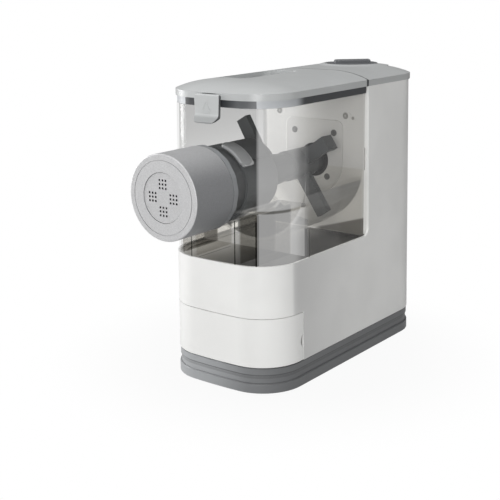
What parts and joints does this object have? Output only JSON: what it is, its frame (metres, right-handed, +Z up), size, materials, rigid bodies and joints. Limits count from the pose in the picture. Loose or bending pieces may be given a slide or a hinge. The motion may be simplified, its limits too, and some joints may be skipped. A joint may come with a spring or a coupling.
{
  "type": "electric pasta maker",
  "caption": "Electric pasta maker with a clear mixing bowl, hinged lid with latch, front extrusion cap with shaping disc, storage drawer and a knob on top.",
  "frame": {"origin": "on the table under the middle of the machine, halfway between the sides and between the cap face and the back", "axes": "+Z up, the cap and the drawer face -Y, +X to the right seen from the front"},
  "size_m": [0.1364, 0.35, 0.2905],
  "materials": {
    "white_plastic": "satin white",
    "grey_plastic": "satin mid grey",
    "lid_plastic": "satin light grey",
    "dark_plastic": "satin dark grey",
    "speckled_plastic": "fine grained warm metallic grey",
    "clear_plastic": "clear moulded",
    "warm_panel": "matt light warm grey",
    "steel": "turned",
    "zinc_steel": "plated",
    "black_rubber": "matt",
    "gear_nylon": "moulded natural nylon",
    "bronze": "sintered",
    "board_green": "varnished",
    "inner_plastic": "matt"
  },
  "bodies": {
    "machine": {"base_skirt": "grey_plastic", "base_plate": "dark_plastic", "base_screws": "zinc_steel", "rubber_feet": "black_rubber", "housing_shell": "white_plastic", "bay_frame": "inner_plastic", "drawer_rails": "inner_plastic", "bulkhead_panel": "warm_panel", "drive_cover": "warm_panel", "drive_cover_screws": "steel", "shaft_seal": "black_rubber", "mixing_chamber": "clear_plastic", "extrusion_tube": "dark_plastic", "tube_collar": "grey_plastic", "idler_pin": "steel", "gearbox_case": "inner_plastic", "gearbox_plate": "zinc_steel", "shaft_bushes": "bronze", "motor_can": "zinc_steel", "rear_cover": "lid_plastic", "control_board": "board_green", "board_brackets": "inner_plastic", "rotary_switch": "dark_plastic", "lid_switch": "dark_plastic", "cord_gland": "black_rubber"},
    "drawer": {"drawer_front": "white_plastic", "drawer_tray": "inner_plastic"},
    "lid_body": {"lid": "lid_plastic", "lid_gasket": "dark_plastic", "latch_pin": "steel"},
    "latch": {"lid_latch": "lid_plastic"},
    "knob": {"control_knob": "grey_plastic"},
    "lock_ring": {"tube_lock": "lid_plastic"},
    "disc": {"shaping_disc": "speckled_plastic"},
    "cap": {"front_cap": "speckled_plastic"},
    "paddle": {"mixing_paddle": "dark_plastic", "auger_screw": "dark_plastic", "drive_coupling": "dark_plastic", "output_shaft": "steel", "output_gear": "gear_nylon"},
    "idler": {"compound_gear": "gear_nylon"},
    "rotor": {"motor_rotor": "steel", "motor_pinion": "steel", "cooling_fan": "dark_plastic"}
  },
  "joints": [
    {"name": "drawer_slide", "type": "slide", "parent": "machine", "child": "drawer", "axis": [0, -1, 0], "range_m": [0, 0.12]},
    {"name": "lid_hinge", "type": "hinge", "parent": "machine", "child": "lid_body", "pos_m": [0, 0.0554, 0.286], "axis": [-1, 0, 0], "range_deg": [0, 95]},
    {"name": "latch_turn", "type": "hinge", "parent": "lid_body", "child": "latch", "pos_m": [-0.0024, -0.10393, 0.2742], "axis": [-1, 0, 0], "range_deg": [0, 15], "stiffness_Nm_per_rad": 0.02, "springref_deg": -5.73},
    {"name": "knob_turn", "type": "hinge", "parent": "machine", "child": "knob", "pos_m": [0, 0.127, 0.28], "axis": [0, 0, 1], "range_deg": [-60, 60]},
    {"name": "lock_turn", "type": "hinge", "parent": "machine", "child": "lock_ring", "pos_m": [0, -0.095, 0.1941], "axis": [0, -1, 0], "range_deg": [0, 25]},
    {"name": "disc_slide", "type": "slide", "parent": "machine", "child": "disc", "axis": [0, -1, 0], "range_m": [0, 0.00452]},
    {"name": "cap_turn", "type": "hinge", "parent": "disc", "child": "cap", "pos_m": [0, -0.15, 0.1941], "axis": [0, -1, 0], "range_deg": [0, 540]},
    {"name": "paddle_spin", "type": "hinge", "parent": "machine", "child": "paddle", "pos_m": [0, 0, 0.1941], "axis": [0, 1, 0], "continuous": true},
    {"name": "idler_spin", "type": "hinge", "parent": "machine", "child": "idler", "pos_m": [0, 0.075, 0.1416], "axis": [0, 1, 0], "continuous": true},
    {"name": "motor_spin", "type": "hinge", "parent": "machine", "child": "rotor", "pos_m": [0, 0.12, 0.1056], "axis": [0, 1, 0], "continuous": true}
  ],
  "couplings": [
    {"joint": "disc_slide", "follows": "cap_turn", "m_per_rad": 0.00047746},
    {"joint": "idler_spin", "follows": "paddle_spin", "ratio": -4},
    {"joint": "motor_spin", "follows": "paddle_spin", "ratio": 12}
  ]
}
